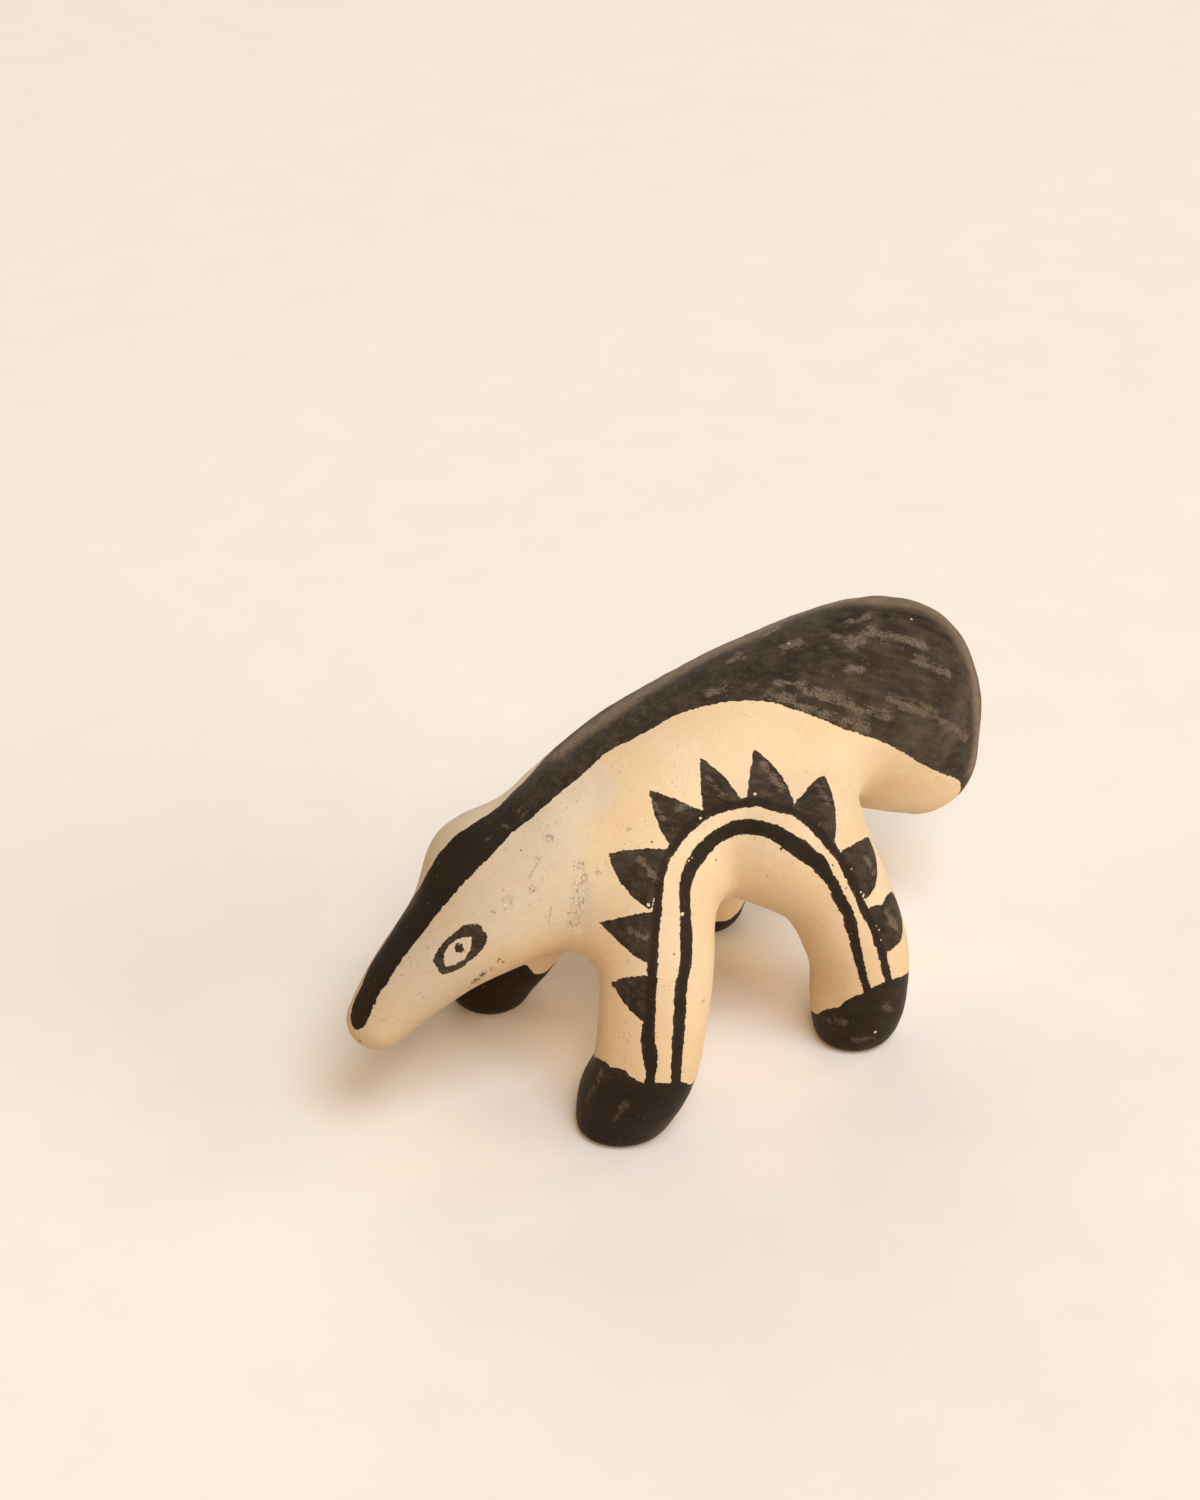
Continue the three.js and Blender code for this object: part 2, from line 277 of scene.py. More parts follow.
# Noise in the clay, the paint and the floor: its size in millimetres, its detail and its roughness.
NOISES = {
    "grain": (0.5, 3.0, 0.6),
    "blotches": (5.0, 4.0, 0.6),
    "clouds": (24.0, 3.0, 0.5),
    "wiping": (1.5, 4.0, 0.65),
    "crumbs": (0.55, 3.0, 0.7),
    "pores": (0.7, 0.0, 0.5),
    "pore_areas": (7.0, 2.0, 0.5),
    "dabs": (0.6, 3.0, 0.5),
    "streaks": (1.3, 3.0, 0.6),
    "speckle": (0.3, 2.0, 0.5),
    "dust": (0.8, 0.0, 0.5),
    "floor": (20.0, 5.0, 0.5),
}
# The crumbs of broken clay are taller than wide: their noise is pressed by this in x, y and z.
CRUMB_PRESS = (1.0, 1.0, 0.6)
# How far streaks, blotches and grain fray the rubbed paint.
FRAYING = (2.4, 1.4, 1.6)
# What each value does to the looks: two limits, and what it counts at the first and at the second
# where that isn't 0 and 1.
RANGES = {
    "bare": (-0.06, 0.10),
    "rough": (0.0, 0.5),
    "broken": (0.39, 0.44, 1.0, 0.0),
    "flecks": (0.55, 0.62),
    "scratches": (0.05, 0.25, 1.0, 0.0),
    "pores": (0.21, 0.25, 1.0, 0.0),
    "pore_areas": (0.46, 0.58),
    "smudges": (0.0, 0.45),
    "dabs": (0.45, 0.52),
    "clouds": (0.36, 0.66),
    "chalk": (0.0, 0.6),
    "chalk_blotches": (0.25, 0.7, 0.7, 1.0),
    "grain": (0.28, 0.46, 1.0, 0.0),
    "wiping": (0.35, 0.65, 0.0, 0.05),
    "along_brush": (0.3, 0.6, 0.6, 1.0),
    "thin_blotches": (0.38, 0.70, 0.04, 0.42),
    "thin_streaks": (0.36, 0.72, 0.06, 0.6),
    "thin_grain": (0.3, 0.6, 0.6, 1.0),
    "thick_covers": (0.0, 1.0, 1.0, 0.05),
    "faded": (0.0, 0.8, 0.0, 0.24),
    "worn": (0.22, 1.02),
    "rubbed": (0.0, 0.4),
    "thick_lasts": (0.0, 1.0, 1.0, 0.55),
    "speckle": (0.38, 0.60, 0.25, 1.0),
    "ridge_wear_and_sheen": (0.3, RIDGE_REACH, 1.0, 0.0),
    "dust": (0.77, 0.82),
    "floor": (0.3, 0.7),
}
# Ragged edges of the paint: size and height of each wave in millimetres, and its detail.
EDGE_WAVES = ((3.0, 0.35, 2.0), (1.3, 0.85, 4.0), (0.5, 0.5, 2.0))
SPOT_WAVE, SCRATCH_WAVE = (0.4, 0.5), (0.9, 0.7)
# The pupil is this much more ragged, and every edge is this soft, in millimetres.
PUPIL_RAGGEDNESS, EDGE_SOFTNESS = 2.0, 0.04
# How strongly each kind of mark shows in the colour, from 0 to 1.
SHARES = {
    "chalk": 0.85, "grain": 0.12, "snoutward_darkening": 0.34, "broken": 0.5, "scratches": 0.6,
    "flecks": 0.45, "pits": 0.22, "smudge": 0.9, "dust": 0.3,
}
# How far each texture rises from the clay, in millimetres. Below 0 it sinks in.
RISES = {"grain": 0.05, "blotches": 0.30, "broken": -0.16, "flecks": 0.10, "pits": -0.08}
SLIP_ROUGHNESS, PAINT_ROUGHNESS = 0.85, 0.65
# The faint warm shine that slip and paint share.
GLOSS = {
    "IOR": 1.3,
    "Specular IOR Level": 0.35,
    "Specular Tint": (1.0, 0.76, 0.55, 1.0),
    "Sheen Weight": 0.08,
    "Sheen Roughness": 0.3,
    "Sheen Tint": (1.0, 0.74, 0.52, 1.0),
}

# Lights: azimuth from the animal's near side towards its tail and elevation in degrees, distance
# and size in metres, power in watts and colour.
LIGHTS = {
    "key": (-4, 61, 6.0, 3.0, 223.0, (0.805, 1.0, 1.27)),
    "camera_side": (-30, 40, 6.0, 2.0, 98.0, (1.38, 1.0, 0.70)),
    "tail_side": (40, 20, 6.0, 4.5, 195.0, (1.02, 1.0, 0.88)),
    "tail_above": (80, 40, 6.0, 2.0, 47.0, (1.0, 1.0, 1.06)),
    "behind": (158, 28, 6.0, 6.0, 172.0, (1.05, 1.0, 0.92)),
    "head_side": (-120, 20, 6.0, 3.0, 53.0, (1.32, 1.0, 0.47)),
}
ROOM_LIGHT = (0.062, 0.047, 0.025)
# The camera's sensor in millimetres, and the nearest and farthest it sees in metres.
SENSOR_WIDTH = 36.0
NEAREST_SEEN, FARTHEST_SEEN = 0.01, 20.0


def curve_through(rows, steps):
    """Smooth curve through rows of numbers, with the same count of steps between each two rows."""
    rows = np.array(rows, float)
    ends = np.vstack([2 * rows[0] - rows[1], rows, 2 * rows[-1] - rows[-2]])
    curve = []
    for a, b, c, d in zip(ends, ends[1:], ends[2:], ends[3:]):
        for t in np.arange(steps) / steps:
            curve.append(b + 0.5 * t * (c - a + t * (2 * a - 5 * b + 4 * c - d + t * (3 * (b - c) + d - a))))
    return np.array(curve + [rows[-1]])


def limb_distance(points, curve):
    """Distance from points to a limb whose curve holds rows of x, y, z, rise and half width."""
    start, way = curve[:-1], np.diff(curve, axis=0)
    run, growth = way[:, :3], way[:, 3]
    length = np.linalg.norm(run, axis=1)
    taper = np.clip(growth / length, -STEEPEST_TAPER, STEEPEST_TAPER)
    lean = taper / np.sqrt(1 - taper**2) / length
    flat = curve[:, 4] / curve[:, 3]
    off = points[:, None] - start[:, :3]
    along = (off * run).sum(2) / length**2
    square = off - along[..., None] * run
    square[..., 1] /= (flat[:-1] + flat[1:]) / 2
    t = np.clip(along + np.linalg.norm(square, axis=2) * lean, 0, 1)
    flat_there = flat[:-1] + t * np.diff(flat)
    gap = off - t[..., None] * run
    gap[..., 1] /= flat_there
    reach = np.linalg.norm(gap, axis=2)
    gap[..., 1] /= flat_there
    stretch = np.linalg.norm(gap, axis=2) + 1e-9
    return ((reach - start[:, 3] - t * growth) * np.minimum(1, reach / stretch)).min(1)


def blend(a, b, width):
    """The smaller of two distances, with the corner between them filled over a width."""
    h = np.maximum(width - np.abs(a - b), 0) / width
    return np.minimum(a, b) - h**3 * width / 6


BODY_CURVE = curve_through([(x, 0, z, rise, half) for x, z, rise, half in BODY.values()], BODY_STEPS)
LEG_CURVES = {
    name: curve_through([(x, side * out, z, radius, radius) for x, out, z, radius in sections], LEG_STEPS)
    for name, (side, *sections) in LEGS.items()
}


def clay(points, block=2000):
    """Distance to the skin of the clay: below 0 inside it, and cut off flat at the soles."""
    if len(points) > block:
        parts = np.array_split(points, len(points) // block + 1)
        return np.concatenate([clay(part) for part in parts])
    skin = limb_distance(points, BODY_CURVE)
    skin = blend(skin, np.linalg.norm(points - NAPE, axis=1) - NAPE_RADIUS, NAPE_BLEND)
    for curve in LEG_CURVES.values():
        skin = blend(skin, limb_distance(points, curve), LEG_BLEND)
    return -blend(-skin, points[:, 2], SOLE_RIM)


def slope(points, probe=0.02):
    """Direction in which the distance to the clay grows fastest, and how fast."""
    steps = probe * np.array([(1, -1, -1), (-1, -1, 1), (-1, 1, -1), (1, 1, 1)])
    return sum(clay(points + step)[:, None] * step for step in steps) / (4 * probe**2)


def settle(points, moves=3):
    """Points moved straight onto the skin."""
    for _ in range(moves):
        rise = slope(points)
        points = points - rise * (clay(points) / (rise**2).sum(1))[:, None]
    return points


def unit(vectors):
    return vectors / np.linalg.norm(vectors, axis=-1, keepdims=True)


def cast(starts, directions, steps=90, touch=0.005):
    """Where rays first meet the clay."""
    starts, directions = np.broadcast_arrays(np.array(starts, float), unit(np.array(directions, float)))
    hits = starts.copy()
    for _ in range(steps):
        gap = clay(hits)
        hits += directions * gap[:, None]
        if np.abs(gap).max() < touch:
            return hits
    raise ValueError(f"rays {np.flatnonzero(np.abs(gap) > touch)} pass the clay")


def photo_camera():
    """The camera's place and its right, up and forward directions."""
    azimuth, elevation = math.radians(VIEW_AZIMUTH), math.radians(VIEW_ELEVATION)
    back = np.array([
        math.sin(azimuth) * math.cos(elevation),
        -math.cos(azimuth) * math.cos(elevation),
        math.sin(elevation),
    ])
    right = unit(np.cross(-back, (0, 0, 1)))
    up = np.cross(right, -back)
    axes = np.array([right, up, -back])
    return -ORIGIN_DEPTH * pixel_ray(ORIGIN_PX, axes), axes


def pixel_ray(pixel, axes):
    """Direction through a pixel of the photograph, 1 deep along the camera's axis."""
    pixel = np.asarray(pixel, float)
    across = (pixel[..., 0:1] - PHOTO_SIZE[0] / 2) / FOCAL_PX
    down = (pixel[..., 1:2] - PHOTO_SIZE[1] / 2) / FOCAL_PX
    return axes[2] + across * axes[0] - down * axes[1]


CAMERA_PLACE, CAMERA_AXES = photo_camera()


def on_clay(pixels):
    """Where the photograph's pixels lie on the clay."""
    return cast(CAMERA_PLACE, pixel_ray(np.array(pixels, float).reshape(-1, 2), CAMERA_AXES))


def size_at(place, pixels):
    """How many millimetres a number of pixels spans at a place."""
    return pixels * np.linalg.norm(place - CAMERA_PLACE) / FOCAL_PX


def mirrored(points):
    """Points with both sides of the animal laid onto its near side."""
    return np.column_stack([points[:, 0], -np.abs(points[:, 1]), points[:, 2]])


def arch_place(points):
    """Points laid onto the near side where the arch and its teeth are painted."""
    near = mirrored(points)
    far = points[:, 1] > 0
    near[far] = settle(near[far] - FAR_ARCH_SHIFT, 2)
    return near


def segment_gaps(points, path):
    """For each segment of a path: how far along it each point is, from 0 to 1, and the gap to it."""
    for index, (a, b) in enumerate(zip(path, path[1:])):
        way = b[:3] - a[:3]
        t = np.clip((points - a[:3]) @ way / max(way @ way, 1e-9), 0, 1)
        yield index, t, points - a[:3] - t[:, None] * way


def stroke_distance(points, path):
    """Distance to a brush stroke whose path holds rows of x, y, z and half width: below 0 in it."""
    nearest = np.full(len(points), np.inf)
    for index, t, gap in segment_gaps(points, path):
        width = path[index, 3] + t * (path[index + 1, 3] - path[index, 3])
        nearest = np.minimum(nearest, np.linalg.norm(gap, axis=1) - width)
    return nearest


def line_distance(points, path):
    """Distance to a line without width whose path holds rows of x, y and z."""
    return stroke_distance(points, np.column_stack([path, np.zeros(len(path))]))


def edge_distance(points, path):
    """Distance to the edge of a painted field that lies on the left of a path over the clay."""
    normals = unit(slope(path))
    runs = unit(np.gradient(path, axis=0))
    outward = unit(np.cross(runs, normals))
    nearest = np.full(len(points), np.inf)
    sign = np.ones(len(points))
    for index, t, gap in segment_gaps(points, path):
        size = np.linalg.norm(gap, axis=1)
        closer = size < nearest
        side = outward[index] + t[:, None] * (outward[index + 1] - outward[index])
        sign = np.where(closer, np.sign((gap * side).sum(1)), sign)
        nearest = np.where(closer, size, nearest)
    return nearest * sign


def stroke_path(pixels, steps=4):
    """Path over the clay of a brush stroke given as rows of x, y and width in pixels."""
    rows = curve_through(pixels, steps)
    run = unit(np.gradient(rows[:, :2], axis=0))
    across = np.column_stack([-run[:, 1], run[:, 0]]) * rows[:, 2:] / 2
    left, right = on_clay(rows[:, :2] + across), on_clay(rows[:, :2] - across)
    return np.column_stack([settle((left + right) / 2), np.linalg.norm(left - right, axis=1) / 2])


def stripe_path():
    """Closed edge of the stripe: the near side from snout to tail, then the far side back."""
    near = on_clay(NEAR_EDGE_PX)
    tail = near[near[:, 0] > TAIL_MIRROR_FROM][::-1] * (1, -1, 1)
    above = CAD_BOX[1].z / MM + ABOVE_CLAY
    back = cast([(x, y, above) for x, y in FAR_BACK], [(0, 0, -1)] * len(FAR_BACK))
    end = settle(np.array([STRIPE_END]))
    corners = np.vstack([near, end, tail, back, on_clay(FAR_EDGE_PX), near[:1]])
    return settle(curve_through(corners, 3))


def circle_through(a, b, c):
    """Middle and radius of the circle through three points of a plane."""
    ab, ac = b - a, c - a
    turn = 2 * (ab[0] * ac[1] - ab[1] * ac[0])
    turn = math.copysign(max(abs(turn), 1e-3), turn)
    offset = np.array([ac[1] * (ab @ ab) - ab[1] * (ac @ ac), ab[0] * (ac @ ac) - ac[0] * (ab @ ab)]) / turn
    return a + offset, np.linalg.norm(offset)


def tooth_sides(points, pixels, overlap=0.8):
    """Distances to the two sides of a tooth, each an arc: both are below 0 in the tooth."""
    tip, left_middle, left_foot, right_middle, right_foot = on_clay(pixels)
    foot = (left_foot + right_foot) / 2
    across = unit(right_foot - left_foot)
    normal = slope(settle(((tip + left_foot + right_foot) / 3)[None]))[0]
    normal = unit(normal - across * (normal @ across))
    rise = np.cross(normal, across)

    def flat(where):
        return np.stack([(where - foot) @ across, (where - foot) @ rise], axis=-1)

    place = flat(points)
    inside = flat((foot + tip) / 2)
    height = np.linalg.norm(tip - foot)
    limit = np.maximum(-overlap - place[:, 1], np.linalg.norm(points - (foot + tip) / 2, axis=1) - height)
    sides = []
    for middle_point, foot_point in ((left_middle, left_foot), (right_middle, right_foot)):
        centre, radius = circle_through(flat(tip), flat(middle_point), flat(foot_point))
        outward = -np.sign(np.linalg.norm(inside - centre) - radius)
        sides.append(np.maximum(outward * (np.linalg.norm(place - centre, axis=1) - radius), limit))
    return np.array(sides)


def cap_distance(points, pair):
    """Height above the upper edge of the black feet, for the front or the hind pair."""
    near, far = LEGS[f"near_{pair}"], LEGS[f"far_{pair}"]
    outer, inner = on_clay(CAPS_PX[pair][NEAR]), mirrored(on_clay(CAPS_PX[pair][FAR]))
    middle_x, middle_out = near[2][0], near[2][1]

    def around(where):
        return np.arctan2(where[:, 1] + middle_out, where[:, 0] - middle_x)

    edge = np.vstack([outer, inner])
    order = np.argsort(around(edge))
    height = np.interp(around(points), around(edge)[order], edge[order, 2], period=2 * math.pi)
    off = np.hypot(points[:, 0] - (near[2][0] + far[2][0]) / 2, points[:, 1] + middle_out)
    return np.maximum(points[:, 2] - height, off - 2 * near[2][3])


def oval_frame(ends):
    """Middle of an oval on the eye given by its ends in pixels, its three axes and half length."""
    low, high = on_clay(ends)
    middle = settle(((low + high) / 2)[None])[0]
    long_way = unit(high - low)
    outward = slope(middle[None])[0]
    outward = unit(outward - long_way * (outward @ long_way))
    return middle, np.array([long_way, np.cross(outward, long_way), outward]), np.linalg.norm(high - low) / 2


def brush_place(points):
    """Points pressed together along the run of the brush, so that noise on them comes out streaky."""
    start, end = on_clay(BRUSH_RUN_PX)
    run = unit(end - start)
    return points - BRUSH_STRETCH * (points @ run)[:, None] * run


def wiped_place(points):
    """Points pressed together the way the slip was wiped on: along the body, and down the legs."""
    down = np.clip((WIPE_TURN - points[:, 2]) / WIPE_BLEND, 0, 1)[:, None]
    run = unit(down * np.array([0, 0, 1.0]) + (1 - down) * unit(np.array(BODY_RUN)))
    return points - WIPE_STRETCH * (points * run).sum(1)[:, None] * run


def thick_paint(points):
    """How thick the black lies: up to 1 on the head and the feet, 0 on tail, flank and eye."""
    head = (THIN_PAINT_FROM[0] - points[:, 0]) / THIN_PAINT_BLEND
    foot = (THIN_PAINT_FROM[1] - points[:, 2]) / THIN_PAINT_BLEND
    foot = np.minimum(foot, np.where(points[:, 0] > 0, HIND_FOOT_PAINT, 1))
    off_eye = np.linalg.norm(mirrored(points) - oval_frame(EYE_PX["ring"])[0], axis=1)
    return np.where(off_eye > EYE_ROOM, np.clip(np.maximum(head, foot), 0, 1), 0)


def patch_strength(points, patches):
    """From 1 in the middle of the nearest of some patches, given in pixels, to 0 at their reach."""
    strength = np.zeros(len(points))
    for centre, (_, _, reach) in zip(on_clay([row[:2] for row in patches]), patches):
        gap = np.linalg.norm(points - centre, axis=1)
        strength = np.maximum(strength, 1 - gap / size_at(centre, reach))
    return np.clip(strength, 0, 1)


def rubbed_strength(points):
    """From 1 in the middle of a rubbed streak to 0 at its edges."""
    strength = np.zeros(len(points))
    for x0, y0, x1, y1, width in RUBBED_PX:
        path = on_clay([(x0, y0), ((x0 + x1) / 2, (y0 + y1) / 2), (x1, y1)])
        gap = line_distance(points, path)
        strength = np.maximum(strength, 1 - gap / size_at(path[1], width))
    return np.clip(strength, 0, 1)


def clay_relief(points):
    """Hand-modelled unevenness of the clay in millimetres: pinches, finger marks, crease, hollow."""
    height = np.zeros(len(points))
    for size, rise, shift in CLAY_WAVES:
        height += rise * np.array([noise.noise(Vector(p / size + shift)) for p in points])
    dents = ((CREASE_PX, CREASE_DEPTH, CREASE_REACH), (HOLLOW_PX, HOLLOW_DEPTH, HOLLOW_REACH))
    for pixels, depth, reach in dents:
        gap = line_distance(points, on_clay(pixels))
        height -= depth * np.exp(-((gap / reach) ** 2))
    return height * np.clip(points[:, 2] / FADE_BELOW, 0, 1)


def fine_mesh():
    """The CAD node's own mesh with its triangles cut finer, moved onto the clay and given relief."""
    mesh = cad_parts["anteater_figurine"].data.copy()
    mesh.name = "painted_anteater"
    shape = bmesh.new()
    shape.from_mesh(mesh)
    bmesh.ops.remove_doubles(shape, verts=shape.verts, dist=0.001 * MM)
    for _ in range(TRIANGLE_CUTS):
        bmesh.ops.subdivide_edges(shape, edges=shape.edges, cuts=1, use_grid_fill=True)
    bmesh.ops.triangulate(shape, faces=shape.faces)
    shape.to_mesh(mesh)
    shape.free()
    points = np.empty(3 * len(mesh.vertices))
    mesh.vertices.foreach_get("co", points)
    points = points.reshape(-1, 3) / MM
    sole = points[:, 2] < SOLE_LEVEL
    rise = slope(points)
    skin = points - rise * (np.where(sole, 0, clay(points)) / (rise**2).sum(1))[:, None]
    points = skin + unit(rise) * np.where(sole, 0, clay_relief(skin))[:, None]
    points[:, 2] = np.maximum(points[:, 2], 0)
    mesh.vertices.foreach_set("co", (points * MM).astype(np.float32).ravel())
    mesh.polygons.foreach_set("use_smooth", np.ones(len(mesh.polygons), bool))
    mesh.update()
    return mesh, skin


def keep_field(mesh, name, values):
    """Keeps one number, or three, for each point of the mesh under a name for its material."""
    kind, key = ("FLOAT", "value") if values.ndim == 1 else ("FLOAT_VECTOR", "vector")
    attribute = mesh.attributes.new(name, kind, "POINT")
    attribute.data.foreach_set(key, values.astype(np.float32).ravel())


def keep_paint(mesh, skin):
    """Distances to all painted shapes, in millimetres and below 0 where the paint lies."""
    near = mirrored(skin)
    keep_field(mesh, "stripe", edge_distance(skin, stripe_path()))
    arch = arch_place(skin)
    inner = stroke_distance(arch, stroke_path(INNER_BAND_PX))
    outer = stroke_distance(arch, stroke_path(OUTER_BAND_PX))
    bands = np.minimum(inner, outer)
    keep_field(mesh, "bands", bands)
    keep_field(mesh, "blot", stroke_distance(arch, stroke_path(LAST_TOOTH_PX)))
    keep_field(mesh, "caps", np.minimum(cap_distance(near, "front"), cap_distance(near, "hind")))
    for name, rows in (("odd", TEETH_PX[0::2]), ("even", TEETH_PX[1::2])):
        sides = np.array([tooth_sides(arch, row) for row in rows])
        best = sides.max(1).argmin(0)
        left, right = np.take_along_axis(sides, best[None, None], 0)[0]
        keep_field(mesh, f"{name}_left", np.clip(left, *TOOTH_LIMITS))
        keep_field(mesh, f"{name}_right", np.clip(right, *TOOTH_LIMITS))
    for name in ("ring", "white"):
        middle, axes, _ = oval_frame(EYE_PX[name])
        keep_field(mesh, f"eye_{name}", (near - middle) @ axes.T)
    keep_field(mesh, "brush_place", brush_place(near))
    keep_field(mesh, "wiped_place", wiped_place(near))
    keep_field(mesh, "thick", np.maximum(thick_paint(skin), np.clip(-2 * bands, 0, BAND_PAINT)))
    # The slip is coloured darker towards the snout.
    keep_field(mesh, "darker_towards_snout", np.clip((DARKER_BEFORE - skin[:, 0]) / DARKER_BLEND, 0, 1))
    keep_field(mesh, "rubbed", rubbed_strength(near))
    keep_field(mesh, "faded", patch_strength(near, FADED_PX))
    # Along the ridge: worn paint and a painted sheen.
    keep_field(mesh, "ridge_wear_and_sheen", line_distance(skin, on_clay(RIDGE_PX)))
    keep_field(mesh, "pitted", patch_strength(near, PITTED_PX))
    keep_field(mesh, "smudged", patch_strength(skin, SMUDGE_PX))
    keep_field(mesh, "chalky", patch_strength(near, CHALKY_PX))


class Recipe:
    """A material written as short calls, one for each node."""

    def __init__(self, name):
        self.material = bpy.data.materials.new(name)
        self.material.use_nodes = True
        self.nodes = self.material.node_tree.nodes
        self.links = self.material.node_tree.links
        self.surface = self.nodes["Principled BSDF"]

    def put(self, socket, value):
        if isinstance(value, bpy.types.NodeSocket):
            self.links.new(value, socket)
        elif value is not None:
            socket.default_value = value

    def node(self, kind, *inputs, **settings):
        made = self.nodes.new(kind)
        for key, value in settings.items():
            setattr(made, key, value)
        for socket, value in zip([s for s in made.inputs if s.enabled], inputs):
            self.put(socket, value)
        return next(s for s in made.outputs if s.enabled)

    def math(self, operation, a, b=None, c=None):
        return self.node("ShaderNodeMath", a, b, c, operation=operation)

    def plus(self, *values):
        return functools.reduce(functools.partial(self.math, "ADD"), values)

    def times(self, a, b):
        return self.math("MULTIPLY", a, b)

    def least(self, *values):
        return functools.reduce(functools.partial(self.math, "MINIMUM"), values)

    def most(self, *values):
        return functools.reduce(functools.partial(self.math, "MAXIMUM"), values)

    def vector_math(self, operation, a, b=None):
        return self.node("ShaderNodeVectorMath", a, b, operation=operation)

    def millimetres(self):
        """Place on the piece in millimetres."""
        coordinates = self.nodes.new("ShaderNodeTexCoord").outputs["Object"]
        return self.vector_math("MULTIPLY", coordinates, (1 / MM, 1 / MM, 1 / MM))

    def field(self, name, output="Fac"):
        """What the mesh keeps under a name."""
        made = self.nodes.new("ShaderNodeAttribute")
        made.attribute_name = name
        return made.outputs[output]

    def noise(self, place, size, detail=2.0, roughness=0.5):
        """Noise from about 0.2 to 0.8 whose features have a size in millimetres."""
        made = self.nodes.new("ShaderNodeTexNoise")
        self.put(made.inputs["Vector"], place)
        made.inputs["Scale"].default_value = 1 / size
        made.inputs["Detail"].default_value = detail
        made.inputs["Roughness"].default_value = roughness
        return made.outputs["Fac"]

    def wave(self, place, size, height, detail=2.0):
        """Noise around 0 with a size and a height in millimetres."""
        return self.times(self.math("SUBTRACT", self.noise(place, size, detail), 0.5), height)

    def range(self, value, low, high, out_low=0.0, out_high=1.0):
        """A value that goes smoothly from one number to another between two limits."""
        made = self.nodes.new("ShaderNodeMapRange")
        made.interpolation_type = "SMOOTHSTEP"
        for key, given in zip(("Value", "From Min", "From Max", "To Min", "To Max"),
                              (value, low, high, out_low, out_high)):
            self.put(made.inputs[key], given)
        return made.outputs["Result"]

    def mix(self, share, a, b):
        """Colour a, turning into colour b as the share goes from 0 to 1."""
        made = self.nodes.new("ShaderNodeMix")
        made.data_type = "RGBA"
        colours = [s for s in made.inputs if s.type == "RGBA"]
        self.put(made.inputs["Factor"], share)
        for socket, colour in zip(colours, (a, b)):
            self.put(socket, (*colour, 1.0) if isinstance(colour, tuple) else colour)
        return next(s for s in made.outputs if s.type == "RGBA")

    def layers(self, colour, coats):
        """A colour under some coats, each a share and a colour."""
        for share, coat in coats:
            colour = self.mix(share, colour, coat)
        return colour

    def distance(self, a, b):
        made = self.nodes.new("ShaderNodeVectorMath")
        made.operation = "DISTANCE"
        self.put(made.inputs[0], a)
        self.put(made.inputs[1], b if isinstance(b, bpy.types.NodeSocket) else tuple(b))
        return made.outputs["Value"]

    def spots(self, place, middles, radii):
        """Distance to the nearest of some round spots, below 0 in one."""
        gaps = [self.math("SUBTRACT", self.distance(place, m), radius) for m, radius in zip(middles, radii)]
        return self.least(*gaps)

    def parts(self, vector):
        """The three parts of a vector."""
        made = self.nodes.new("ShaderNodeSeparateXYZ")
        self.put(made.inputs[0], vector)
        return made.outputs

    def line_distance(self, place, start, end):
        """Distance to the straight line between two points."""
        run = end - start
        off = self.vector_math("SUBTRACT", place, tuple(start))
        share = self.nodes.new("ShaderNodeVectorMath")
        share.operation = "DOT_PRODUCT"
        self.put(share.inputs[0], off)
        self.put(share.inputs[1], tuple(run / (run @ run)))
        clamped = self.nodes.new("ShaderNodeClamp")
        self.put(clamped.inputs["Value"], share.outputs["Value"])
        nearest = self.nodes.new("ShaderNodeVectorMath")
        nearest.operation = "SCALE"
        nearest.inputs[0].default_value = tuple(run)
        self.put(nearest.inputs["Scale"], clamped.outputs["Result"])
        return self.distance(off, nearest.outputs["Vector"])

    def bump(self, height):
        """Makes the surface look raised by a height in millimetres."""
        made = self.nodes.new("ShaderNodeBump")
        made.inputs["Strength"].default_value = 1.0
        made.inputs["Distance"].default_value = MM
        self.put(made.inputs["Height"], height)
        self.put(self.surface.inputs["Normal"], made.outputs["Normal"])


def pixel_spots(rows):
    """Middles on the clay and radii in millimetres of spots given in pixels."""
    middles = on_clay([row[:2] for row in rows])
    radii = [size_at(middle, row[2]) for middle, row in zip(middles, rows)]
    return middles, radii


def eye_distance(recipe, ragged):
    """Distance to the paint of the eye: an oval ring round an almond, and a dot for the pupil."""
    _, _, ring_long = oval_frame(EYE_PX["ring"])
    middle, axes, white_long = oval_frame(EYE_PX["white"])
    along, across, off = recipe.parts(recipe.field("eye_ring", "Vector"))
    across = recipe.math("MULTIPLY_ADD", along, -RING_SHEAR, across)
    powers = [
        recipe.math("POWER", recipe.math("DIVIDE", recipe.math("ABSOLUTE", value), half), RING_SQUARENESS)
        for value, half in ((along, ring_long), (across, RING_HALF))
    ]
    oval = recipe.math("POWER", recipe.plus(*powers), 1 / RING_SQUARENESS)
    ring = recipe.times(recipe.math("SUBTRACT", oval, 1.0), RING_HALF)
    white_along, white_across, _ = recipe.parts(recipe.field("eye_white", "Vector"))
    flat = recipe.node("ShaderNodeCombineXYZ", white_along, white_across, 0.0)
    radius = (white_long**2 + WHITE_HALF**2) / (2 * WHITE_HALF)
    lids = [recipe.distance(flat, (0, side * (radius - WHITE_HALF), 0)) for side in (-1, 1)]
    almond = recipe.math("SUBTRACT", recipe.most(*lids), radius)
    ring = recipe.plus(recipe.most(ring, recipe.times(almond, -1.0)), ragged)
    dot_place = axes @ (on_clay(EYE_PX["pupil"])[0] - middle)
    dot = recipe.math("SUBTRACT", recipe.distance(flat, (dot_place[0], dot_place[1], 0)), PUPIL_RADIUS)
    dot = recipe.plus(dot, recipe.times(ragged, PUPIL_RAGGEDNESS))
    on_this_side = recipe.math("SUBTRACT", recipe.math("ABSOLUTE", off), ring_long)
    return recipe.most(recipe.least(ring, dot), on_this_side)


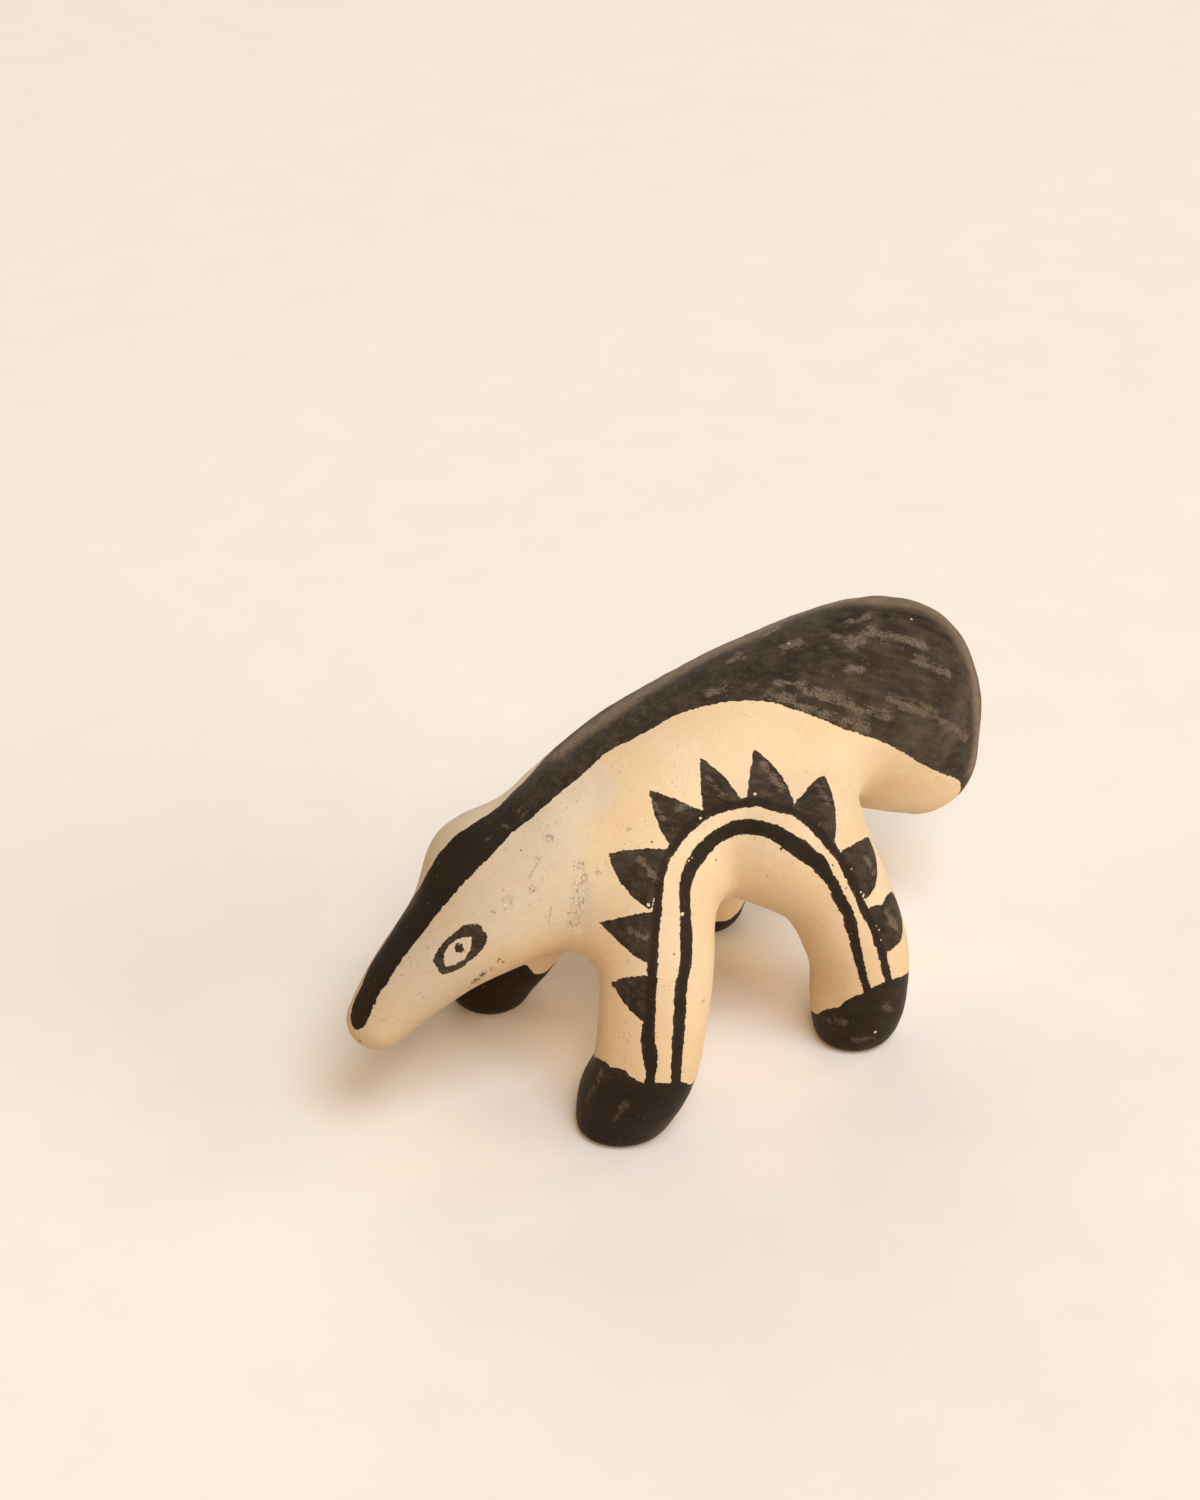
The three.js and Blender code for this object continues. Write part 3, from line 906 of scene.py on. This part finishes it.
def paint_cover(recipe, place):
    """1 where the black is painted and 0 on the slip, with ragged edges, specks and bare spots."""
    ragged = recipe.plus(*[recipe.wave(place, *wave) for wave in EDGE_WAVES])
    teeth = [recipe.most(recipe.field(f"{n}_left"), recipe.field(f"{n}_right")) for n in ("odd", "even")]
    fields = [recipe.field(name) for name in ("bands", "blot", "stripe", "caps")]
    shapes = recipe.least(recipe.plus(recipe.least(*teeth, *fields), ragged), eye_distance(recipe, ragged))
    fine = recipe.wave(place, *SPOT_WAVE)
    specks = recipe.plus(recipe.spots(place, *pixel_spots(SPECKS_PX)), fine)
    bare = recipe.plus(recipe.spots(place, *pixel_spots(BARE_PX)), fine)
    paint = recipe.range(recipe.least(shapes, specks), -EDGE_SOFTNESS, EDGE_SOFTNESS, 1.0, 0.0)
    return recipe.times(paint, recipe.range(bare, *RANGES["bare"]))


def clay_marks(recipe, place):
    """How much of each kind of mark the slip has: broken surface, flecks, pits and smudges."""
    crumbs = recipe.noise(recipe.vector_math("MULTIPLY", place, CRUMB_PRESS), *NOISES["crumbs"])
    rough = recipe.range(recipe.field("pitted"), *RANGES["rough"])
    broken = recipe.times(rough, recipe.range(crumbs, *RANGES["broken"]))
    lines = [recipe.line_distance(place, *on_clay([ends[:2], ends[2:]])) for ends in SCRATCHES_PX]
    ragged_lines = recipe.plus(recipe.least(*lines), recipe.wave(place, *SCRATCH_WAVE))
    scratches = recipe.range(ragged_lines, *RANGES["scratches"])
    pores = recipe.range(recipe.noise(place, *NOISES["pores"]), *RANGES["pores"])
    pore_areas = recipe.range(recipe.noise(place, *NOISES["pore_areas"]), *RANGES["pore_areas"])
    smudges = recipe.range(recipe.field("smudged"), *RANGES["smudges"])
    dabs = recipe.range(recipe.noise(place, *NOISES["dabs"]), *RANGES["dabs"])
    return {
        "broken": recipe.most(broken, recipe.times(scratches, SHARES["scratches"])),
        "flecks": recipe.times(rough, recipe.range(crumbs, *RANGES["flecks"])),
        "pits": recipe.times(pores, pore_areas),
        "smudge": recipe.times(smudges, dabs),
    }


def cream_slip(recipe, place, grain, blotches, marks):
    """Colour of the slip: warmer clouds, chalky patches, grain, wiping, a head coloured darker, the marks.
    """
    clouds = recipe.range(recipe.noise(place, *NOISES["clouds"]), *RANGES["clouds"])
    chalk = recipe.range(recipe.field("chalky"), *RANGES["chalk"])
    chalk = recipe.times(chalk, recipe.range(blotches, *RANGES["chalk_blotches"]))
    wiped = recipe.noise(recipe.field("wiped_place", "Vector"), *NOISES["wiping"])
    return recipe.layers(recipe.mix(clouds, CREAM, CREAM_WARM), (
        (recipe.times(chalk, SHARES["chalk"]), CREAM_CHALK),
        (recipe.times(recipe.range(grain, *RANGES["grain"]), SHARES["grain"]), PIT_BROWN),
        (recipe.range(wiped, *RANGES["wiping"]), PIT_BROWN),
        (recipe.times(recipe.field("darker_towards_snout"), SHARES["snoutward_darkening"]), PIT_BROWN),
        (recipe.times(marks["broken"], SHARES["broken"]), PIT_BROWN),
        (recipe.times(marks["flecks"], SHARES["flecks"]), CREAM_FLECK),
        (recipe.times(marks["pits"], SHARES["pits"]), PIT_BROWN),
        (recipe.times(marks["smudge"], SHARES["smudge"]), BLACK_THIN),
    ))


def black_paint(recipe, place, grain, blotches):
    """Colour of the black: thin where it was brushed thin, faded, rubbed, worn with a painted sheen on the
    ridge, dusty.
    """
    streaks = recipe.noise(recipe.field("brush_place", "Vector"), *NOISES["streaks"])
    along_brush = recipe.range(streaks, *RANGES["along_brush"])
    thick, rubbed = recipe.field("thick"), recipe.field("rubbed")
    thin = recipe.range(blotches, *RANGES["thin_blotches"])
    thin = recipe.plus(thin, recipe.range(streaks, *RANGES["thin_streaks"]))
    thin = recipe.times(thin, recipe.range(grain, *RANGES["thin_grain"]))
    thin = recipe.times(thin, recipe.range(thick, *RANGES["thick_covers"]))
    faded = recipe.times(recipe.range(recipe.field("faded"), *RANGES["faded"]), along_brush)
    wear = rubbed
    for texture, strength in zip((streaks, blotches, grain), FRAYING):
        wear = recipe.math("MULTIPLY_ADD", recipe.math("SUBTRACT", texture, 0.5), strength, wear)
    worn = recipe.times(recipe.range(wear, *RANGES["worn"]), recipe.range(rubbed, *RANGES["rubbed"]))
    worn = recipe.times(worn, recipe.range(thick, *RANGES["thick_lasts"]))
    speckle = recipe.range(recipe.noise(place, *NOISES["speckle"]), *RANGES["speckle"])
    # Worn paint and a painted sheen along the ridge of the back and tail.
    ridge_wear_and_sheen = recipe.times(recipe.range(recipe.field("ridge_wear_and_sheen"), *RANGES["ridge_wear_and_sheen"]), along_brush)
    dust = recipe.range(recipe.noise(place, *NOISES["dust"]), *RANGES["dust"])
    return recipe.layers(BLACK, (
        (thin, BLACK_THIN),
        (faded, RUBBED),
        (recipe.times(worn, speckle), RUBBED),
        (ridge_wear_and_sheen, RIDGE_WEAR_AND_SHEEN_COLOUR),
        (recipe.times(dust, SHARES["dust"]), RUBBED),
    ))


def painted_clay():
    """Fired clay under cream slip with black hand painting."""
    recipe = Recipe("painted_clay")
    place = recipe.millimetres()
    grain = recipe.noise(place, *NOISES["grain"])
    blotches = recipe.noise(place, *NOISES["blotches"])
    marks = clay_marks(recipe, place)
    paint = paint_cover(recipe, place)
    cream = cream_slip(recipe, place, grain, blotches, marks)
    black = black_paint(recipe, place, grain, blotches)
    inputs = recipe.surface.inputs
    recipe.put(inputs["Base Color"], recipe.mix(paint, cream, black))
    recipe.put(inputs["Roughness"], recipe.range(paint, 0.0, 1.0, SLIP_ROUGHNESS, PAINT_ROUGHNESS))
    for name, value in GLOSS.items():
        inputs[name].default_value = value
    textures = {"grain": grain, "blotches": blotches, **marks}
    recipe.bump(recipe.plus(*[recipe.times(textures[name], rise) for name, rise in RISES.items()]))
    return recipe.material


def painted_anteater():
    """The piece that stands for the solid: same form, finer surface, painted."""
    mesh, skin = fine_mesh()
    keep_paint(mesh, skin)
    mesh.materials.clear()
    mesh.materials.append(painted_clay())
    piece = bpy.data.objects.new("painted_anteater", mesh)
    bpy.context.scene.collection.objects.link(piece)
    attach(piece, "root")
    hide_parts("anteater_figurine")
    return piece


def studio_floor():
    """Plain pale ground."""
    mesh = bpy.data.meshes.new("studio_floor")
    corners = [(x * FLOOR_HALF, y * FLOOR_HALF, 0) for x, y in ((-1, -1), (1, -1), (1, 1), (-1, 1))]
    mesh.from_pydata(corners, [], [(0, 1, 2, 3)])
    recipe = Recipe("pale_floor")
    shade = recipe.range(recipe.noise(recipe.millimetres(), *NOISES["floor"]), *RANGES["floor"])
    darkest = tuple(FLOOR_DARKEST * c for c in FLOOR_COLOUR)
    recipe.put(recipe.surface.inputs["Base Color"], recipe.mix(shade, FLOOR_COLOUR, darkest))
    recipe.surface.inputs["Roughness"].default_value = FLOOR_ROUGHNESS
    recipe.surface.inputs["Specular IOR Level"].default_value = FLOOR_SHINE
    mesh.materials.append(recipe.material)
    floor = bpy.data.objects.new("studio_floor", mesh)
    bpy.context.scene.collection.objects.link(floor)


def sight(azimuth, elevation):
    """Direction from the ground's middle at an azimuth and elevation in degrees."""
    turn, rise = math.radians(azimuth), math.radians(elevation)
    return Vector((math.sin(turn) * math.cos(rise), -math.cos(turn) * math.cos(rise), math.sin(rise)))


def studio_lights():
    """Round soft lights, all turned towards the ground's middle."""
    for name, (azimuth, elevation, distance, size, power, colour) in LIGHTS.items():
        light = bpy.data.lights.new(name, "AREA")
        light.shape = "DISK"
        light.size, light.energy, light.color = size, power, colour
        lamp = bpy.data.objects.new(name, light)
        lamp.location = distance * sight(azimuth, elevation)
        lamp.rotation_euler = sight(azimuth, elevation).to_track_quat("Z", "Y").to_euler()
        bpy.context.scene.collection.objects.link(lamp)


def room_light():
    """Even soft light from all round."""
    world = bpy.data.worlds.new("room")
    world.use_nodes = True
    world.node_tree.nodes["Background"].inputs["Color"].default_value = (*ROOM_LIGHT, 1.0)
    bpy.context.scene.world = world


def photo_view():
    """Camera at the photograph's place, with its framing."""
    lens = bpy.data.cameras.new("photo_view")
    lens.sensor_width = SENSOR_WIDTH
    lens.lens = FOCAL_PX * lens.sensor_width / PHOTO_SIZE[1]
    lens.clip_start, lens.clip_end = NEAREST_SEEN, FARTHEST_SEEN
    camera = bpy.data.objects.new("photo_view", lens)
    camera.location = CAMERA_PLACE * MM
    forward, up = Vector(CAMERA_AXES[2]), Vector(CAMERA_AXES[1])
    right = forward.cross(up)
    from_axes = np.column_stack([right, up, -forward])
    camera.rotation_mode = "QUATERNION"
    camera.rotation_quaternion = Matrix(from_axes.tolist()).to_quaternion()
    bpy.context.scene.collection.objects.link(camera)
    bpy.context.scene.camera = camera


photo_view()
studio_floor()
studio_lights()
room_light()
painted_anteater()
view = bpy.context.scene.view_settings
view.view_transform = "Standard"
view.look = "None"

bpy.context.view_layer.update()
